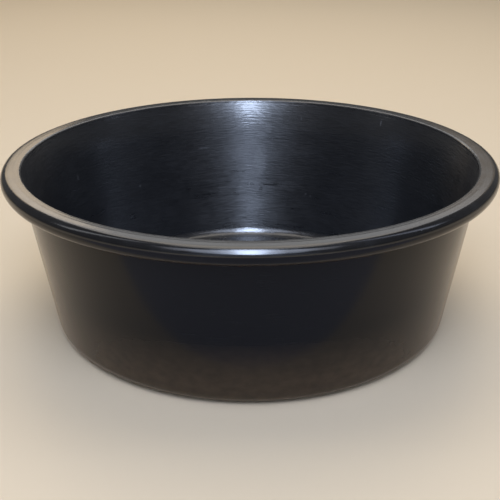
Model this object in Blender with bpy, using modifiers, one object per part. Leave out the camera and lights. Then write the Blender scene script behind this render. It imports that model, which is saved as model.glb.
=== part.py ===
"""A round plastic feed pan: one moulding with a foot ring, a drafted wall and a rolled rim.

Metres, +Z up. The origin is the centre of the circle that the pan stands on.
"""

import math

import bpy
from mathutils import Vector

# Overall sizes
RIM_DIAMETER = 0.320
HEIGHT = 0.111
BASE_DIAMETER = 0.2614  # where the wall's outer face would meet the ground if its corner were sharp

# Thicknesses; the wall's is measured level
WALL = 0.0030
FLOOR = 0.0030
RIM_SKIN = 0.0026

# Rolled rim: a flat land on top, a shoulder outside it, and a curl that turns back towards the wall
RIM_WIDTH = 0.0130
SHOULDER_RADIUS = 0.0045
CURL_RADIUS = 0.0070
CURL_GAP = 0.0012  # the slot between the curl's end and the wall, so the roll is hollow and open
ROOT_RADIUS = 0.0010

# Mouth: a small lip inside the land, and the eased wall below it
LIP_HEIGHT = 0.0030
LIP_LEAN = 0.0002
LIP_ROUNDING = 0.0013
EASE_SETBACK = 0.0008  # how far inside the lip the wall's inner face would reach the top
EASE_ANGLE = math.radians(38.0)  # from upright
EASE_RADIUS = 0.0085

# Bottom
CORNER_RADIUS = 0.0114
FILLET_RADIUS = 0.0070
FOOT_WIDTH = 0.0060
FLOOR_RISE = 0.0015  # the floor inside the foot ring stands this much higher, above and below
STEP_RUN = 0.0015
DISC_INSET = 0.0015  # from the foot ring's outer edge in to the foot of the raised floor

# Facets
TURNS = 72
ARC_ERROR = 0.0001

# Derived sizes
RIM_RADIUS = RIM_DIAMETER / 2
RIM_DEPTH = SHOULDER_RADIUS + CURL_RADIUS
MOUTH_RADIUS = RIM_RADIUS - RIM_WIDTH
BASE_RADIUS = BASE_DIAMETER / 2
DRAFT = (MOUTH_RADIUS - EASE_SETBACK + WALL - BASE_RADIUS) / HEIGHT
DRAFT_ANGLE = math.atan(DRAFT)


def wall_outside(z):
    """Radius of the wall's outer face at height z."""
    return BASE_RADIUS + DRAFT * z


def wall_inside(z):
    """Radius of the wall's inner face at height z."""
    return wall_outside(z) - WALL


def rounded_corner(before, corner, after, radius):
    """The arc of a given radius that rounds one corner of an outline."""
    to_before = (before - corner).normalized()
    to_after = (after - corner).normalized()
    half_angle = to_before.angle(to_after) / 2
    reach = radius / math.tan(half_angle)
    centre = corner + (to_before + to_after).normalized() * radius / math.sin(half_angle)
    start = (corner + to_before * reach - centre).normalized()
    finish = (corner + to_after * reach - centre).normalized()
    facet = 2 * math.acos(1 - ARC_ERROR / radius)
    steps = math.ceil((math.pi - 2 * half_angle) / facet)
    return [centre + radius * start.slerp(finish, i / steps) for i in range(steps + 1)]


def rounded_outline(corners):
    """Turns corners of (radius, height, rounding) into points. The first and last are on the axis and stay."""
    places = [Vector((r, z)) for r, z, rounding in corners]
    points = [places[0]]
    for i in range(1, len(corners) - 1):
        rounding = corners[i][2]
        if rounding:
            points += rounded_corner(places[i - 1], places[i], places[i + 1], rounding)
        else:
            points.append(places[i])
    points.append(places[-1])
    return points


def pan_section():
    """Half of the pan's section: out over the floor, up the inside, over the rim, down the outside and back in."""
    foot_outer = wall_outside(0) - CORNER_RADIUS * math.tan((math.pi / 2 - DRAFT_ANGLE) / 2)
    foot_inner = foot_outer - FOOT_WIDTH
    disc_foot = foot_outer - DISC_INSET
    # The wall's inner face meets the eased face some way below the lip
    lip_foot = HEIGHT - LIP_HEIGHT
    lip_foot_radius = MOUTH_RADIUS - LIP_LEAN
    ease_height = lip_foot - (lip_foot_radius - wall_inside(lip_foot)) / (math.tan(EASE_ANGLE) - DRAFT)
    curl_bottom = HEIGHT - RIM_DEPTH
    curl_top = curl_bottom + RIM_SKIN
    curl_end = wall_outside(curl_top) + CURL_GAP
    # A hair under half the skin, so that the end's two arcs don't share a point
    end_rounding = 0.49 * RIM_SKIN
    ceiling = HEIGHT - RIM_SKIN
    hollow_radius = RIM_RADIUS - RIM_SKIN
    return rounded_outline([
        (0, FLOOR + FLOOR_RISE, 0),
        (disc_foot - STEP_RUN, FLOOR + FLOOR_RISE, 0),
        (disc_foot, FLOOR, 0),
        (wall_inside(FLOOR), FLOOR, FILLET_RADIUS),
        (wall_inside(ease_height), ease_height, EASE_RADIUS),
        (lip_foot_radius, lip_foot, 0),
        (MOUTH_RADIUS, HEIGHT, LIP_ROUNDING),
        (RIM_RADIUS, HEIGHT, SHOULDER_RADIUS),
        (RIM_RADIUS, curl_bottom, CURL_RADIUS),
        (curl_end, curl_bottom, end_rounding),
        (curl_end, curl_top, end_rounding),
        (hollow_radius, curl_top, CURL_RADIUS - RIM_SKIN),
        (hollow_radius, ceiling, SHOULDER_RADIUS - RIM_SKIN),
        (wall_outside(ceiling), ceiling, ROOT_RADIUS),
        (wall_outside(0), 0, CORNER_RADIUS),
        (foot_inner, 0, 0),
        (foot_inner - STEP_RUN, FLOOR_RISE, 0),
        (0, FLOOR_RISE, 0),
    ])


def black_plastic():
    """Black polyethylene with a fair gloss, as it leaves a polished mould."""
    material = bpy.data.materials.new("black_polyethylene")
    material.use_nodes = True
    shader = material.node_tree.nodes["Principled BSDF"]
    shader.inputs["Base Color"].default_value = (0.008, 0.008, 0.010, 1.0)
    shader.inputs["Roughness"].default_value = 0.28
    shader.inputs["Metallic"].default_value = 0.0
    return material


def turned_object(name, section, material, collection):
    """A solid of revolution about Z, from a section that starts and ends on the axis."""
    mesh = bpy.data.meshes.new(name)
    edges = [(i, i + 1) for i in range(len(section) - 1)]
    mesh.from_pydata([(r, 0.0, z) for r, z in section], edges, [])
    mesh.materials.append(material)
    turned = bpy.data.objects.new(name, mesh)
    collection.objects.link(turned)
    screw = turned.modifiers.new("turn", "SCREW")
    screw.axis = "Z"
    screw.angle = math.tau
    screw.steps = TURNS
    screw.render_steps = TURNS
    screw.use_smooth_shade = True
    screw.use_merge_vertices = True
    screw.merge_threshold = 0.00001
    return turned


def remove_everything():
    for thing in list(bpy.data.objects):
        bpy.data.objects.remove(thing, do_unlink=True)


def build():
    remove_everything()
    parts = bpy.data.collections.new("plastic_feed_pan")
    bpy.context.scene.collection.children.link(parts)
    turned_object("feed_pan", pan_section(), black_plastic(), parts)


build()
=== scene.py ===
# %% [markdown]
# # A round feed pan in black polyethylene
# The real pan is one moulding: a flat floor, a wall that leans outwards so that pans stack and leave the
# mould, and a rim that is rolled outwards to stiffen the mouth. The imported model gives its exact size. This
# file builds the same pan as a smooth mesh with moulding marks, gives it its plastic and lights it.

# %% Load the frame
import math

import bmesh
import bpy
from mathutils import Matrix, Vector


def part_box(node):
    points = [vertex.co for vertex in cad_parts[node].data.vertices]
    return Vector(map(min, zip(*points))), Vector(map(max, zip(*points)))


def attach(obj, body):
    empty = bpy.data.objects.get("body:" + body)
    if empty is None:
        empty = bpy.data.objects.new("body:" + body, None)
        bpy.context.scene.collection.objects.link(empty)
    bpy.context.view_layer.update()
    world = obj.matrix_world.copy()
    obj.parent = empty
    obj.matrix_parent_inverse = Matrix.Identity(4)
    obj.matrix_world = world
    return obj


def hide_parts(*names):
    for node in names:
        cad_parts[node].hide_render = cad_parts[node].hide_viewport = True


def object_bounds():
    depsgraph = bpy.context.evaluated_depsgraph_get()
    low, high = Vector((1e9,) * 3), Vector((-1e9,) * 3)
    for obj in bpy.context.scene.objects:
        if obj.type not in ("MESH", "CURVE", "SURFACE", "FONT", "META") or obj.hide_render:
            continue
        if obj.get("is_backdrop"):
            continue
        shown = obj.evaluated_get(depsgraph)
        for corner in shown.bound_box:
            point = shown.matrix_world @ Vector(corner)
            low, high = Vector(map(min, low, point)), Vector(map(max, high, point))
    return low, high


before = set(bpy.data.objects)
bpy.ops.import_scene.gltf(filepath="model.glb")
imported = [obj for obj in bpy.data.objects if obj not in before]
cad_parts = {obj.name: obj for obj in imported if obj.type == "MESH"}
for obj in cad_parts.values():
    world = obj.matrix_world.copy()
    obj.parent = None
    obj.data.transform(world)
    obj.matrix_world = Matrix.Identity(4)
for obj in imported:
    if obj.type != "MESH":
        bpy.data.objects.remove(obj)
cad_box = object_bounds()
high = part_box("feed_pan")[1]
HEIGHT = high.z
RIM_RADIUS = high.x
print(f"the pan is {2000 * RIM_RADIUS:.0f} mm across and {1000 * HEIGHT:.0f} mm high")

# %% [markdown]
# ## The camera
# The camera comes first. Its distance and tilt were found by fitting ellipses to the rim and the foot of the
# pan, and they are written as shares of the rim's radius, so that the view stays the same if the pan is made
# larger.
# It could aim with a Track To constraint, but a plain matrix keeps the small roll of a camera held by hand.

# %% Camera
PITCH = math.radians(23.08)
ROLL = math.radians(-0.21)
DISTANCE = 3.935 * RIM_RADIUS
AIM_HEIGHT = 0.267 * RIM_RADIUS
FOCAL_LENGTH = 66.0  # mm
SENSOR_WIDTH = 36.0  # mm
SHIFT = -0.0007  # of the picture's width

camera = bpy.data.objects.new("camera", bpy.data.cameras.new("camera"))
bpy.context.scene.collection.objects.link(camera)
bpy.context.scene.camera = camera
camera.data.lens = FOCAL_LENGTH
camera.data.sensor_width = SENSOR_WIDTH
camera.data.shift_x = SHIFT
eye = Vector((0, -DISTANCE * math.cos(PITCH), AIM_HEIGHT + DISTANCE * math.sin(PITCH)))
tilt = Matrix.Rotation(math.pi / 2 - PITCH, 4, "X") @ Matrix.Rotation(ROLL, 4, "Z")
camera.matrix_world = Matrix.Translation(eye) @ tilt
print("camera at", [round(c, 3) for c in eye])

# %% [markdown]
# ## The section
# A turned shape is easiest to judge as half of its section. It could be a curve object, but a mesh line lets
# each corner be rounded with the same Bevel tool that rounds edges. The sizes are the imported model's: a 3 mm
# wall, a 13 mm wide rim that curls down 11.5 mm, and a foot ring that keeps the floor off the ground. Only the
# mouth differs, by about a millimetre at most: its edge is a little rounder, and the wall opens towards it
# more gently, because the tall highlight below the lip comes from that.

# %% Sizes of the moulding, in metres
WALL = 0.0030
FLOOR = 0.0030
RIM_SKIN = 0.0026
BASE_RADIUS = 0.1307
RIM_WIDTH = 0.0130
SHOULDER_RADIUS = 0.0045
CURL_RADIUS = 0.0070
CURL_GAP = 0.0012
CURL_END_ROUNDING = 0.49 * RIM_SKIN  # almost a half circle round the end of the curl
ROOT_RADIUS = 0.0010
LIP_HEIGHT = 0.0030
LIP_LEAN = 0.0002
LIP_ROUNDING = 0.0015
EASE_SETBACK = 0.0008  # the straight wall would meet the top this far inside the mouth
FLARE_ANGLE = math.radians(14.5)  # from upright, where the wall opens towards the lip
FLARE_RADIUS = 0.260
CORNER_RADIUS = 0.0114
FILLET_RADIUS = 0.0070
FOOT_WIDTH = 0.0060
FLOOR_RISE = 0.0015
STEP_RUN = 0.0015
DISC_INSET = 0.0015
EDGE_ROUNDING = 0.0006  # every edge that has no radius of its own is this round
GATE_RADIUS = 0.0040  # the stub under the floor where the plastic flowed in, cut off inside the foot ring
GATE_HEIGHT = 0.0008

mouth_radius = RIM_RADIUS - RIM_WIDTH
draft = (mouth_radius - EASE_SETBACK + WALL - BASE_RADIUS) / HEIGHT
print(f"the wall leans out by {math.degrees(math.atan(draft)):.1f} degrees")


def wall_outside(z):
    return BASE_RADIUS + draft * z


def wall_inside(z):
    return wall_outside(z) - WALL


# %% Corners of the half section: (radius, height, rounding), from the floor's centre round the rim to the foot
foot_outer = wall_outside(0) - CORNER_RADIUS * math.tan((math.pi / 2 - math.atan(draft)) / 2)
foot_inner = foot_outer - FOOT_WIDTH
disc_foot = foot_outer - DISC_INSET
lip_foot = HEIGHT - LIP_HEIGHT
lip_foot_radius = mouth_radius - LIP_LEAN
flare_height = lip_foot - (lip_foot_radius - wall_inside(lip_foot)) / (math.tan(FLARE_ANGLE) - draft)
curl_bottom = HEIGHT - SHOULDER_RADIUS - CURL_RADIUS
curl_top = curl_bottom + RIM_SKIN
curl_end = wall_outside(curl_top) + CURL_GAP
ceiling = HEIGHT - RIM_SKIN
hollow_radius = RIM_RADIUS - RIM_SKIN

inside_corners = [
    (disc_foot - STEP_RUN, FLOOR + FLOOR_RISE, EDGE_ROUNDING),
    (disc_foot, FLOOR, EDGE_ROUNDING),
    (wall_inside(FLOOR), FLOOR, FILLET_RADIUS),
    (wall_inside(flare_height), flare_height, FLARE_RADIUS),
    (lip_foot_radius, lip_foot, EDGE_ROUNDING),
    (mouth_radius, HEIGHT, LIP_ROUNDING),
]
rim_corners = [
    (RIM_RADIUS, HEIGHT, SHOULDER_RADIUS),
    (RIM_RADIUS, curl_bottom, CURL_RADIUS),
    (curl_end, curl_bottom, CURL_END_ROUNDING),
    (curl_end, curl_top, CURL_END_ROUNDING),
    (hollow_radius, curl_top, CURL_RADIUS - RIM_SKIN),
    (hollow_radius, ceiling, SHOULDER_RADIUS - RIM_SKIN),
]
outside_corners = [
    (wall_outside(ceiling), ceiling, ROOT_RADIUS),
    (wall_outside(0), 0, CORNER_RADIUS),
    (foot_inner, 0, EDGE_ROUNDING),
    (foot_inner - STEP_RUN, FLOOR_RISE, EDGE_ROUNDING),
    (GATE_RADIUS + GATE_HEIGHT / 2, FLOOR_RISE, EDGE_ROUNDING / 2),
    (GATE_RADIUS, FLOOR_RISE - GATE_HEIGHT, EDGE_ROUNDING / 2),
]
floor_centre = (0, FLOOR + FLOOR_RISE, 0)
foot_centre = (0, FLOOR_RISE - GATE_HEIGHT, 0)
corners = [floor_centre, *inside_corners, *rim_corners, *outside_corners, foot_centre]
print(len(corners), "corners in the half section")

# %% [markdown]
# ## Drawing the section by hand
# A plane merged to a single point is the usual way to start a line in edit mode. Extruding that point from
# corner to corner draws the section. It starts one small step off the axis: a point on the axis would spin
# into hundreds of copies of itself, and a small ring is closed with one flat face instead.

# %% Helpers for edit mode
POLE = 0.0004  # metres that the section starts and ends off the axis
TOUCHING = 0.00001  # metres, below which two places count as the same one


def deselect_everything():
    bpy.ops.object.select_all(action="DESELECT")


def edit():
    bpy.ops.object.mode_set(mode="EDIT")


def leave():
    bpy.ops.object.mode_set(mode="OBJECT")


def select_vertices(obj, wanted):
    """Selects the vertices that wanted says yes to, by their place, and returns how many they are."""
    bpy.ops.mesh.select_mode(type="VERT")
    bpy.ops.mesh.select_all(action="DESELECT")
    mesh = bmesh.from_edit_mesh(obj.data)
    found = [v for v in mesh.verts if wanted(v.co)]
    for v in found:
        v.select = True
    mesh.select_flush_mode()
    bmesh.update_edit_mesh(obj.data)
    return len(found)


def near(place):
    return lambda co: (co - place).length < TOUCHING


print(f"the section starts {1000 * POLE:.1f} mm off the axis")


# %% Draw the section
deselect_everything()
places = [Vector((max(r, POLE), 0, z)) for r, z, _ in corners]
bpy.ops.mesh.primitive_plane_add(size=0.001, location=places[0])
pan = bpy.context.object
pan.name = "feed_pan_moulding"
bpy.ops.object.transform_apply(location=True, rotation=False, scale=False)
edit()
bpy.ops.mesh.merge(type="CENTER")
for here, there in zip(places, places[1:]):
    bpy.ops.mesh.extrude_region_move(TRANSFORM_OT_translate={"value": there - here})
leave()
print("the section has", len(pan.data.vertices), "points and", len(pan.data.edges), "edges")

# %% [markdown]
# ## Rounding the corners
# Each corner is bevelled by itself, because each has its own radius. Bevel measures along the edges from the
# corner, so a radius has to be turned into that reach first: the sharper the corner, the longer the reach.
# The number of segments follows the turn, so that a long arc such as the curl stays as smooth as a small one.

# %% Round each corner
TURN_PER_SEGMENT = math.radians(7.5)
FEWEST_SEGMENTS = 6
edit()
for i, (_, _, rounding) in enumerate(corners[1:-1], start=1):
    to_before = places[i - 1] - places[i]
    to_after = places[i + 1] - places[i]
    turn = math.pi - to_before.angle(to_after)
    found = select_vertices(pan, near(places[i]))
    assert found == 1, (i, found)
    bpy.ops.mesh.bevel(
        affect="VERTICES",
        offset_type="OFFSET",
        offset=rounding * math.tan(turn / 2),
        segments=max(FEWEST_SEGMENTS, round(turn / TURN_PER_SEGMENT)),
        profile=0.5,
    )
leave()
print("after rounding it has", len(pan.data.vertices), "points")

# %% [markdown]
# ## Turning it
# Spin sweeps the section round the axis. The Screw modifier could do the same, but Spin leaves plain geometry
# that the next steps can edit. It ends where it began, so the doubled seam is merged, the two small rings at
# the axis are filled, and the normals are recalculated once everything is closed.

# %% Spin the section
STEPS = 288
SEAM = 0.000002  # metres, less than between any two points that should stay apart
CREASE = math.radians(40)  # an edge that turns by more than this stays sharp
edit()
bpy.ops.mesh.select_all(action="SELECT")
bpy.ops.mesh.spin(steps=STEPS, angle=math.tau, center=(0, 0, 0), axis=(0, 0, 1))
bpy.ops.mesh.select_all(action="SELECT")
bpy.ops.mesh.remove_doubles(threshold=SEAM)
for z in (floor_centre[1], foot_centre[1]):
    select_vertices(pan, lambda co: co.xy.length < POLE + TOUCHING and abs(co.z - z) < TOUCHING)
    bpy.ops.mesh.edge_face_add()
bpy.ops.mesh.select_all(action="SELECT")
bpy.ops.mesh.normals_make_consistent(inside=False)
leave()
loose_edges = sum(1 for e in pan.data.edges if e.is_loose)
print("turned:", len(pan.data.polygons), "faces,", loose_edges, "loose edges")
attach(pan, "root")
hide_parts("feed_pan")
bpy.ops.object.shade_smooth_by_angle(angle=CREASE)

# %% [markdown]
# ## The plastic
# Feed pans are moulded from high-density polyethylene coloured with carbon black. The eye reads three things
# in it: an almost black body, a gloss that follows how each face was made and worn, and small marks. One
# material with masks could do it, but four small ones keep each finish easy to read. All of them use Object
# coordinates, because those follow the pan wherever it is moved and need no UV map.

# %% Colours
PLASTIC_BLACK = "#0f1013"  # fresh polyethylene with carbon black
SCUFFED_BLACK = "#25272b"  # where fine scratches scatter light
STRESSED_GREY = "#8f9196"  # polyethylene pales where a knock has stretched it
BARN_DUST_AND_PAINTED_REFLECTION = "#86725c"  # dried mud and feed on the floor inside; low on the outside wall it is painted reflection
PAINTED_BROWN_SHEEN = "#b87d38"  # brown sheen at a slant: painted reflection where the wall turns away
MM = 0.001


def linear(colour):
    """An sRGB hex colour as the linear values that the shader works in."""
    parts = [int(colour[i : i + 2], 16) / 255 for i in (1, 3, 5)]
    return [c / 12.92 if c <= 0.04045 else ((c + 0.055) / 1.055) ** 2.4 for c in parts] + [1.0]


for colour in (PLASTIC_BLACK, SCUFFED_BLACK, STRESSED_GREY, BARN_DUST_AND_PAINTED_REFLECTION, PAINTED_BROWN_SHEEN):
    print(colour, "is", [round(c, 4) for c in linear(colour)[:3]], "in linear values")

# %% [markdown]
# ## Adding a node
# A material is a tree of nodes. They could be placed and joined by hand in the Shader editor, but written out
# they can be read in order. One function adds any node, with its settings and what goes into its sockets, so
# each node below takes one line.


# %% One node
def add(tree, kind, inputs=(), **settings):
    """Adds a node. Inputs go by name, number or order, and each is a value, a socket or another node."""
    node = tree.nodes.new(kind)
    for name, value in settings.items():
        setattr(node, name, value)
    for name, value in inputs.items() if isinstance(inputs, dict) else enumerate(inputs):
        source = value.outputs[0] if isinstance(value, bpy.types.Node) else value
        if isinstance(source, bpy.types.NodeSocket):
            tree.links.new(source, node.inputs[name])
        else:
            node.inputs[name].default_value = source
    return node


def plastic(name, ior):
    """A black polyethylene with nothing on it yet, as its tree and its shader."""
    material = bpy.data.materials.new(name)
    material.use_nodes = True
    shader = material.node_tree.nodes["Principled BSDF"]
    shader.inputs["IOR"].default_value = ior
    pan.data.materials.append(material)
    print("material", len(pan.data.materials), name)
    return material.node_tree, shader


# %% [markdown]
# ## Patterns at real sizes
# Every pattern below is noise with a real grain size. A Mapping node of the Texture kind divides the place by
# a size, so the three numbers are simply the grain's length, depth and height. A grain that is long on the
# level and short upright reads as lines that run round the pan, as drag lines from demoulding do. A finish has
# several patterns, so they are stretched to the share that each one has and added up.


# %% Patterns and how they are joined
def grain(tree, size, turn=0, detail=2.0):
    """Noise from 0 to 1, with grains of the given size in millimetres, turned about the pan's axis."""
    place = add(tree, "ShaderNodeTexCoord").outputs["Object"]
    sized = {"Vector": place, "Scale": [s * MM for s in size], "Rotation": (0, 0, math.radians(turn))}
    mapping = add(tree, "ShaderNodeMapping", sized, vector_type="TEXTURE")
    return add(tree, "ShaderNodeTexNoise", {"Vector": mapping, "Scale": 1.0, "Detail": detail})


def layers(tree, *shares):
    """Adds patterns up. A share is a pattern, the range it is read over and the range that this becomes."""
    result = None
    for share in shares:
        layer = add(tree, "ShaderNodeMapRange", share)
        result = layer if result is None else add(tree, "ShaderNodeMath", (result, layer), operation="ADD")
    return result


def cover(tree, shader, roughness, scuffs, marked, mark_colour, heights, depth):
    """Joins the patterns to the shader: gloss, colour, and relief whose 0 to 1 is a depth in millimetres."""
    tree.links.new(roughness.outputs[0], shader.inputs["Roughness"])
    # The Mix node repeats its socket names for each type: for colours, 6 and 7 go in and 2 comes out
    shades = {0: scuffs, 6: linear(PLASTIC_BLACK), 7: linear(SCUFFED_BLACK)}
    scuffed = add(tree, "ShaderNodeMix", shades, data_type="RGBA").outputs[2]
    shades = {0: marked, 6: scuffed, 7: linear(mark_colour)}
    coloured = add(tree, "ShaderNodeMix", shades, data_type="RGBA").outputs[2]
    tree.links.new(coloured, shader.inputs["Base Color"])
    bump = add(tree, "ShaderNodeBump", {"Height": heights, "Distance": depth * MM, "Strength": 1.0})
    for skin in ("Normal", "Coat Normal"):
        tree.links.new(bump.outputs["Normal"], shader.inputs[skin])
    print("  made of", len(tree.nodes), "nodes")


# %% [markdown]
# ## Marks that a used pan has
# Scratches, a few smudges, pale knocks and hazy patches sit on the wall inside. They could be painted on an
# image, but a mark here is an oval at an angle and a height, so it stays a formula. Its edge is roughened by
# noise. A mark that is smoother than the wall round it looks dark beside the highlight, and a rougher one looks
# pale, so the marks act on roughness. A knock pales the colour too, and haze does so a little.

# %% Marks inside: millimetres along the wall from its back, height, half length, half height, strength
WALL_RADIUS = 138.0  # mm, halfway up the inside
SMOOTH_MARKS = [
    (18.0, 44.2, 9.5, 0.9, 0.75),
    (2.5, 44.0, 8.0, 0.8, 0.5),
    (9.2, 40.2, 1.8, 2.1, 0.7),
    (-14.0, 36.4, 6.5, 1.4, 0.5),
    (-38.0, 36.8, 13.0, 2.6, 0.25),
    (-7.7, 54.8, 14.0, 0.8, 0.4),
    (-5.8, 80.6, 1.7, 1.5, 0.5),
    (26.0, 81.2, 17.0, 0.7, 0.4),
    (-62.0, 66.0, 16.0, 0.5, 0.5),
    (74.0, 58.0, 12.0, 0.6, 0.5),
]
HAZY_MARKS = [
    (14.5, 89.5, 3.0, 4.0, 0.8),
    (9.5, 84.0, 4.5, 2.6, 0.8),
    (8.5, 64.0, 5.5, 12.0, 1.0),
    (-8.0, 70.0, 9.0, 6.0, 0.5),
    (-37.0, 75.0, 5.0, 0.8, 0.8),
    (3.0, 27.0, 10.0, 7.0, 0.5),
]
KNOCKS = [
    (47.5, 38.6, 1.0, 0.7, 0.12),
    (51.5, 37.2, 1.1, 0.7, 0.12),
    (40.0, 98.0, 0.7, 1.5, 0.08),
    (-95.0, 53.0, 1.2, 1.0, 0.10),
    (-155.0, 75.0, 1.2, 2.2, 0.08),
    (105.0, 103.0, 0.6, 2.0, 0.20),
    (188.0, 99.0, 0.8, 1.8, 0.10),
]
FULL_TO, GONE_AT = 0.5, 1.1  # how far out a mark is full, and where it has gone, as shares of its half size


def along_the_wall(tree):
    """Place on the wall as (millimetres clockwise from the back, height in millimetres, 0)."""
    place = add(tree, "ShaderNodeTexCoord").outputs["Object"]
    xyz = add(tree, "ShaderNodeSeparateXYZ", {"Vector": place})
    angle = add(tree, "ShaderNodeMath", (xyz.outputs["X"], xyz.outputs["Y"]), operation="ARCTAN2")
    arc = add(tree, "ShaderNodeMath", (angle, WALL_RADIUS), operation="MULTIPLY")
    height = add(tree, "ShaderNodeMath", (xyz.outputs["Z"], 1 / MM), operation="MULTIPLY")
    return add(tree, "ShaderNodeCombineXYZ", {"X": arc, "Y": height})


def marks(tree, wall, ovals, frayed_edge):
    """1 inside the ovals and 0 outside, softened over their outer part."""
    result = None
    for arc, height, half_length, half_height, strength in ovals:
        moved = add(tree, "ShaderNodeVectorMath", (wall, (arc, height, 0)), operation="SUBTRACT")
        sized = add(tree, "ShaderNodeVectorMath", (moved, (half_length, half_height, 1)), operation="DIVIDE")
        reach = add(tree, "ShaderNodeVectorMath", (sized,), operation="LENGTH").outputs["Value"]
        frayed = add(tree, "ShaderNodeMath", (reach, frayed_edge), operation="ADD")
        mask = layers(tree, (frayed, FULL_TO, GONE_AT, strength, 0.0))
        result = mask if result is None else add(tree, "ShaderNodeMath", (result, mask), operation="MAXIMUM")
    return result


print(len(SMOOTH_MARKS) + len(HAZY_MARKS) + len(KNOCKS), "marks inside")

# %% [markdown]
# ## The inside of the wall: rubbed
# Pans are stacked and pulled apart, and feed is stirred round in them, so the wall inside carries fine lines
# that run round it. Lines like these spread a highlight across themselves: the lamp's reflection becomes a tall
# streak. Anisotropic gloss does that, with a tangent that runs round the pan's axis and a quarter turn, so that
# the rough direction is upright. A thin coat on top stands for the plastic between the lines, which kept its
# gloss. Real drag lines are about 0.2 mm apart, too fine for the picture, so they are drawn coarser, 1 to 4 mm
# apart. Just below its worn edge the mouth opens a little more than the mesh can within the rim's packed
# width, so the relief tips the surface there.

# %% Rubbed polyethylene
FLARE_SLOPE = 0.10  # how much more the wall opens towards the lip, in millimetres a millimetre
FLARE_START, FLARE_FULL, FLARE_END = 87.0, 105.5, 108.3  # mm above the ground
LIP_SLOPE, LIP_WEAR = 0.28, 1.5  # how far the edge above it is tipped by wear, and over what height
tree, shader = plastic("black_polyethylene_rubbed_by_stacking", ior=1.42)
shader.inputs["Anisotropic"].default_value = 0.9
shader.inputs["Anisotropic Rotation"].default_value = 0.25
shader.inputs["Coat Weight"].default_value = 0.55
shader.inputs["Coat Roughness"].default_value = 0.16
shader.inputs["Coat IOR"].default_value = 1.54
tangent = add(tree, "ShaderNodeTangent", direction_type="RADIAL", axis="Z")
tree.links.new(tangent.outputs["Tangent"], shader.inputs["Tangent"])

wall = along_the_wall(tree)
height = add(tree, "ShaderNodeSeparateXYZ", {"Vector": wall}).outputs["Y"]
fine_lines = grain(tree, (8, 8, 1.3), detail=1.0)
striations = grain(tree, (4, 4, 0.8), detail=1.0)
broad_lines = grain(tree, (55, 55, 4.5), detail=3.0)
clouds = grain(tree, (22, 22, 16), detail=3.0)
frayed_edge = layers(tree, (grain(tree, (3, 3, 1.2)), 0.3, 0.7, -0.35, 0.35))
smooth = marks(tree, wall, SMOOTH_MARKS, frayed_edge)
hazy = marks(tree, wall, HAZY_MARKS, frayed_edge)
knocked = marks(tree, wall, KNOCKS, frayed_edge)
scuffs = add(tree, "ShaderNodeMath", (fine_lines, clouds), operation="MULTIPLY")
opening = layers(tree, (height, FLARE_START, FLARE_FULL, 0.0, 1.0))
opening = add(tree, "ShaderNodeMath", (opening, opening), operation="MULTIPLY")
roughness = layers(
    tree,
    (fine_lines, 0.3, 0.7, 0.29, 0.37),
    (broad_lines, 0.3, 0.7, -0.03, 0.03),
    (clouds, 0.3, 0.7, -0.02, 0.045),
    (smooth, 0.0, 1.0, 0.0, -0.20),
    (hazy, 0.0, 1.0, 0.0, 0.06),
    (height, 105.0, 109.0, 0.0, -0.12),  # the edge of the mouth is rubbed smooth
    (height, 50.0, 85.0, 0.0, 0.05),  # stacked pans rub the upper half
    (height, 5.0, 14.0, -0.12, 0.0),  # little reaches into the fillet, so it keeps its gloss
)
relief = layers(
    tree,
    (fine_lines, 0.0, 1.0, 0.0, 0.12),
    (striations, 0.0, 1.0, 0.0, 0.07),
    (broad_lines, 0.0, 1.0, 0.0, 0.045),
    (opening, 0.0, 1.0, 0.0, -FLARE_SLOPE * (FLARE_FULL - FLARE_START) / 2),
    (height, FLARE_FULL, FLARE_END, 0.0, -FLARE_SLOPE * (FLARE_END - FLARE_FULL)),
    (height, lip_foot / MM, lip_foot / MM + LIP_WEAR, 0.0, -LIP_SLOPE * LIP_WEAR),
)
scuffs = layers(tree, (scuffs, 0.12, 0.45, 0.25, 0.60), (hazy, 0.0, 1.0, 0.0, 0.9))
marked = layers(tree, (knocked, 0.0, 1.0, 0.0, 1.0), (hazy, 0.0, 1.0, 0.0, 0.10))
cover(tree, shader, roughness, scuffs, marked, STRESSED_GREY, relief, 1.0)

# %% [markdown]
# ## The outside of the wall: polished
# The cavity of the mould is polished, so the outside has a closed, even gloss, with the slight unevenness that
# polyethylene takes as it shrinks. Near the ground it is scuffed by being dragged about. Its reflection is a
# little weaker than clean polyethylene's, as the photo shows, so its index is set a little low. A brown sheen
# where the wall turns away is painted reflection of warm surroundings, and a paler brown band low on the wall
# is painted reflection of the floor near the foot.

# %% Polished polyethylene
tree, shader = plastic("black_polyethylene_polished_by_the_mould", ior=1.30)
# the brown sheen where the wall turns away is painted reflection of warm surroundings
shader.inputs["Sheen Weight"].default_value = 0.11
shader.inputs["Sheen Roughness"].default_value = 0.35
shader.inputs["Sheen Tint"].default_value = linear(PAINTED_BROWN_SHEEN)
shrinkage = grain(tree, (60, 60, 45), detail=1.0)
flow = grain(tree, (9, 9, 40), detail=2.0)
speckle = grain(tree, (7, 7, 5), detail=5.0)
rubs = grain(tree, (18, 18, 0.9), detail=3.0)
height = add(tree, "ShaderNodeSeparateXYZ", {"Vector": along_the_wall(tree)}).outputs["Y"]
near_ground = layers(tree, (height, 2.0, 12.0, 1.0, 0.0))
dragged = add(tree, "ShaderNodeMath", (near_ground, rubs), operation="MULTIPLY")
roughness = layers(
    tree,
    (flow, 0.3, 0.7, 0.13, 0.17),
    (speckle, 0.4, 0.8, 0.0, 0.05),
    (dragged, 0.3, 0.7, 0.0, 0.22),
)
scuffs = layers(tree, (rubs, 0.62, 0.75, 0.0, 0.25), (dragged, 0.3, 0.6, 0.0, 0.7))
relief = layers(tree, (shrinkage, 0.0, 1.0, 0.0, 1.0), (rubs, 0.0, 1.0, 0.0, 0.02))
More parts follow.
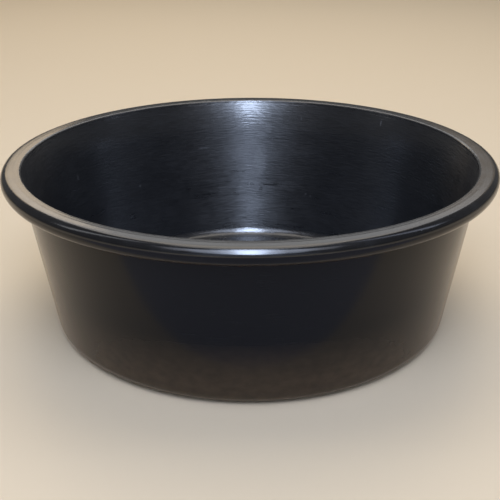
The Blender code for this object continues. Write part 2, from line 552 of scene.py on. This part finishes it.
# a mottled paler brown low on the wall: painted reflection of the floor near the foot
low_on_the_wall = layers(tree, (height, 14.0, 46.0, 1.0, 0.0))
mottled_band = layers(tree, (speckle, 0.3, 0.7, 0.13, 0.21))
painted_floor_reflection = add(tree, "ShaderNodeMath", (low_on_the_wall, mottled_band), operation="MULTIPLY")
cover(tree, shader, roughness, scuffs, painted_floor_reflection, BARN_DUST_AND_PAINTED_REFLECTION, relief, 0.12)

# %% [markdown]
# ## The rim: handled
# Hands, animals and stacked pans rub the rim most. Its gloss is softer, with lines that run round it, and its
# land isn't quite flat: the plastic shrinks into the roll below it and leaves shallow rings.

# %% Handled polyethylene
CROWN = 0.16  # mm that the land falls from its middle to its edges
LAND_FROM, LAND_TO = mouth_radius - 0.0020, RIM_RADIUS - 0.0015  # its edges, in metres from the axis
tree, shader = plastic("black_polyethylene_handled", ior=1.54)
place = add(tree, "ShaderNodeTexCoord").outputs["Object"]
across = add(tree, "ShaderNodeVectorMath", (place, (1 / MM, 1 / MM, 0)), operation="MULTIPLY")
radius = add(tree, "ShaderNodeVectorMath", (across,), operation="LENGTH").outputs["Value"]
rings = add(tree, "ShaderNodeTexNoise", {"W": radius, "Scale": 0.45, "Detail": 2.0}, noise_dimensions="1D")
handling = grain(tree, (12, 12, 12), detail=4.0)
nicks = grain(tree, (2.4, 2.4, 1.2), detail=2.0)
roughness = layers(tree, (handling, 0.3, 0.7, 0.13, 0.19), (rings, 0.3, 0.7, 0.0, 0.04))
off_middle = layers(tree, (radius, LAND_FROM / MM, LAND_TO / MM, -1.0, 1.0))
fall = add(tree, "ShaderNodeMath", (off_middle, off_middle), operation="MULTIPLY")
relief = layers(tree, (fall, 0.0, 1.0, 0.0, -CROWN), (rings, 0.0, 1.0, 0.0, 0.08))
scuffs = layers(tree, (handling, 0.5, 0.8, 0.0, 0.5))
nicked = layers(tree, (nicks, 0.76, 0.8, 0.0, 0.25))
cover(tree, shader, roughness, scuffs, nicked, STRESSED_GREY, relief, 1.0)

# %% [markdown]
# ## The floor: scratched
# Beaks, hooves and scoops scratch the floor in every direction. Three sets of thin grains, each turned another
# way, cross each other as scratches do.

# %% Scratched polyethylene
SCRATCH_TURNS = (12, 71, 137)  # degrees about the pan's axis
tree, shader = plastic("black_polyethylene_scratched", ior=1.40)
scratches = None
for turn in SCRATCH_TURNS:
    thin = layers(tree, (grain(tree, (26, 0.8, 4), turn=turn, detail=1.0), 0.64, 0.72, 0.0, 1.0))
    if scratches is None:
        scratches = thin
    else:
        scratches = add(tree, "ShaderNodeMath", (scratches, thin), operation="MAXIMUM")
bedded_dust = grain(tree, (15, 15, 15), detail=5.0)
roughness = layers(tree, (bedded_dust, 0.3, 0.7, 0.20, 0.30), (scratches, 0.0, 1.0, 0.0, 0.15))
scuffs = layers(tree, (scratches, 0.0, 1.0, 0.0, 1.0), (bedded_dust, 0.5, 0.8, 0.0, 0.5))
bedded = layers(tree, (bedded_dust, 0.4, 0.8, 0.0, 0.10))
relief = layers(tree, (scratches, 0.0, 1.0, 1.0, 0.0))
cover(tree, shader, roughness, scuffs, bedded, BARN_DUST_AND_PAINTED_REFLECTION, relief, 0.03)

# %% [markdown]
# ## Which face has which finish
# The four finishes meet where the pan itself changes: at the lip, inside the curl and at the foot of the raised
# floor. They could be painted on by hand in edit mode, but here each face is sorted by its own place.

# %% Give each face its finish
RUBBED, POLISHED, HANDLED, SCRATCHED = range(4)
EDGE = 0.0001  # metres that a face may lie past the line where two finishes meet
counts = [0, 0, 0, 0]
for face in pan.data.polygons:
    centre, r = face.center, face.center.xy.length
    on_rim = r > mouth_radius + LIP_ROUNDING and centre.z > curl_bottom + CURL_RADIUS
    faces_up = face.normal.z > 0 and centre.z > FLOOR - EDGE
    if on_rim and (r > hollow_radius or centre.z > ceiling + EDGE):
        finish = HANDLED
    elif faces_up and r < disc_foot + EDGE:
        finish = SCRATCHED
    elif faces_up and r < mouth_radius + LIP_ROUNDING:
        finish = RUBBED
    else:
        finish = POLISHED
    face.material_index = finish
    counts[finish] += 1
print("faces rubbed, polished, handled and scratched:", counts)

# %% [markdown]
# ## Floor
# A plain pale floor that runs so far past the pan that the camera sees no edge of it. Paper has no gloss to
# speak of, only a fine tooth, so a high roughness and no specular are enough. It is cream and not white,
# because the top of the rim and the wall mirror it, and their reflections are warm.

# %% Floor
FLOOR_COLOUR = "#dbcbb1"
FLOOR_SIZE = 30  # metres
deselect_everything()
bpy.ops.mesh.primitive_plane_add(size=FLOOR_SIZE, location=(0, 0, 0))
floor = bpy.context.object
floor.name = "studio_floor"
paper = bpy.data.materials.new("matt_pale_paper")
paper.use_nodes = True
paper_shader = paper.node_tree.nodes["Principled BSDF"]
paper_shader.inputs["Base Color"].default_value = linear(FLOOR_COLOUR)
paper_shader.inputs["Roughness"].default_value = 0.9
paper_shader.inputs["Specular IOR Level"].default_value = 0.0
floor.data.materials.append(paper)
floor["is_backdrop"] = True
print("the floor is", FLOOR_COLOUR, "and", FLOOR_SIZE, "metres wide")

# %% [markdown]
# ## Lamps
# Glossy black shows hardly anything but reflections, so each lamp is placed for the face that mirrors it. The
# rim's shoulder, the flare below the lip and the fillet at the floor all mirror one tall strip in front, and
# the land on top of the rim mirrors what stands low behind the pan. Three of the lamps in front are there only
# to be mirrored, so they don't light the matt floor, as if flags kept them off it. The lamps above and behind
# are the main light on it, and the pan's shadow falls forwards, where its front then mirrors it.

# %% Lamps
WATTS_PER_RADIANCE = 4  # the brightness of an area lamp is a quarter of its watts on a square metre


def softbox(name, azimuth, elevation, distance, width, height, radiance, colour, on_matt=True):
    """A soft rectangular lamp that faces the pan. Azimuth 0 is the camera's side, and 90 is to the right."""
    a, e = math.radians(azimuth), math.radians(elevation)
    outwards = Vector((math.sin(a) * math.cos(e), -math.cos(a) * math.cos(e), math.sin(e)))
    light = bpy.data.lights.new(name, "AREA")
    light.shape = "RECTANGLE"
    light.size = width
    light.size_y = height
    light.color = linear(colour)[:3]
    light.energy = radiance * width * height * WATTS_PER_RADIANCE
    lamp = bpy.data.objects.new(name, light)
    bpy.context.scene.collection.objects.link(lamp)
    lamp.location = Vector((0, 0, HEIGHT)) + outwards * distance
    lamp.rotation_mode = "QUATERNION"
    lamp.rotation_quaternion = outwards.to_track_quat("Z", "Y")
    lamp.visible_camera = False
    lamp.visible_diffuse = on_matt
    print(f"{name}: {light.energy:.1f} W")


softbox("key_strip_in_front", 0, 48, 1.5, 0.26, 1.66, 20, "#cfe0ff", on_matt=False)
softbox("narrow_window_in_front", 0, 46, 1.5, 0.56, 1.5, 2.2, "#cfe0ff")
softbox("low_window_in_front", 0, 29, 1.5, 0.62, 0.26, 2.6, "#cfe0ff", on_matt=False)
softbox("low_card_in_front", 0, 5, 2.5, 2.6, 0.5, 0.5, "#cfe0ff", on_matt=False)
softbox("wide_window_in_front", 0, 44, 1.5, 1.15, 1.1, 2.1, "#d6e4ff")
softbox("wider_window_in_front", 0, 51, 1.5, 1.7, 0.7, 1.3, "#f0f2ff")
softbox("overhead", 180, 78, 1.6, 1.0, 1.1, 2.0, "#fff6ea")
softbox("window_behind", 180, 52, 1.8, 1.4, 0.7, 1.6, "#fff6ea")
softbox("card_behind", 180, 31, 2.0, 1.6, 0.7, 1.05, "#f1f1f2")
softbox("warm_card_left_behind", 202, 21, 2.0, 0.5, 0.5, 1.5, "#ffe6c4")
softbox("warm_card_right_behind", 158, 19, 2.0, 0.5, 0.4, 0.25, "#ffe3c0")
softbox("strip_right", 90, 45, 1.5, 0.2, 1.0, 1.8, "#dfe8ff")
softbox("strip_left", 270, 45, 1.5, 0.2, 1.0, 1.8, "#eef0f4")

# %% [markdown]
# ## The room
# What no lamp covers is a dim, even room. A brighter one would fill the black plastic with haze.

# %% Room
ROOM_COLOUR, ROOM_STRENGTH = "#e6e3de", 0.20
world = bpy.data.worlds.new("studio")
bpy.context.scene.world = world
world.use_nodes = True
background = world.node_tree.nodes["Background"]
background.inputs["Color"].default_value = linear(ROOM_COLOUR)
background.inputs["Strength"].default_value = ROOM_STRENGTH
bpy.context.scene.view_settings.view_transform = "Standard"
print("room at", ROOM_STRENGTH)

# %% [markdown]
# ## A darker card in front
# The front of a glossy black pan shows whatever lies in front of it, and a pale floor would leave it grey.
# Photographers lay a darker card there. This one starts on the floor below the rim, and only the pan sees it:
# its straight edge, mirrored by the round wall, is the edge of a dark dome.

# %% Darker card
CARD_NEAR, CARD_FAR, CARD_WIDTH = 0.157, 0.40, 0.62  # metres from the pan's axis, and across
CARD_LIFT = 0.001  # metres off the floor, so that the two don't share a plane
CARD_COLOUR = "#acacb3"
deselect_everything()
bpy.ops.mesh.primitive_plane_add(size=1, location=(0, 0, 0))
card = bpy.context.object
card.name = "darker_card_in_front"
middle = Matrix.Translation((0, -(CARD_NEAR + CARD_FAR) / 2, CARD_LIFT))
card.data.transform(middle @ Matrix.Diagonal((CARD_WIDTH, CARD_FAR - CARD_NEAR, 1, 1)))
matt_card = bpy.data.materials.new("matt_grey_card")
matt_card.use_nodes = True
card_shader = matt_card.node_tree.nodes["Principled BSDF"]
card_shader.inputs["Base Color"].default_value = linear(CARD_COLOUR)
card_shader.inputs["Specular IOR Level"].default_value = 0.0
card.data.materials.append(matt_card)
card.visible_camera = card.visible_shadow = card.visible_diffuse = False
card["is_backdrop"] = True
print(f"the card starts {1000 * (CARD_NEAR - BASE_RADIUS):.0f} mm in front of the foot of the wall")

# %% [markdown]
# ## The end
# The sizes of the imported model and of this one are printed side by side, because a better-looking mesh
# must still be the same size.

# %% Sizes for comparison, and the end
boxes = {"cad": cad_box, "visual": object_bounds()}
for name, box in boxes.items():
    print(name, "is", [round(1000 * (top - bottom), 1) for bottom, top in zip(*box)], "mm")
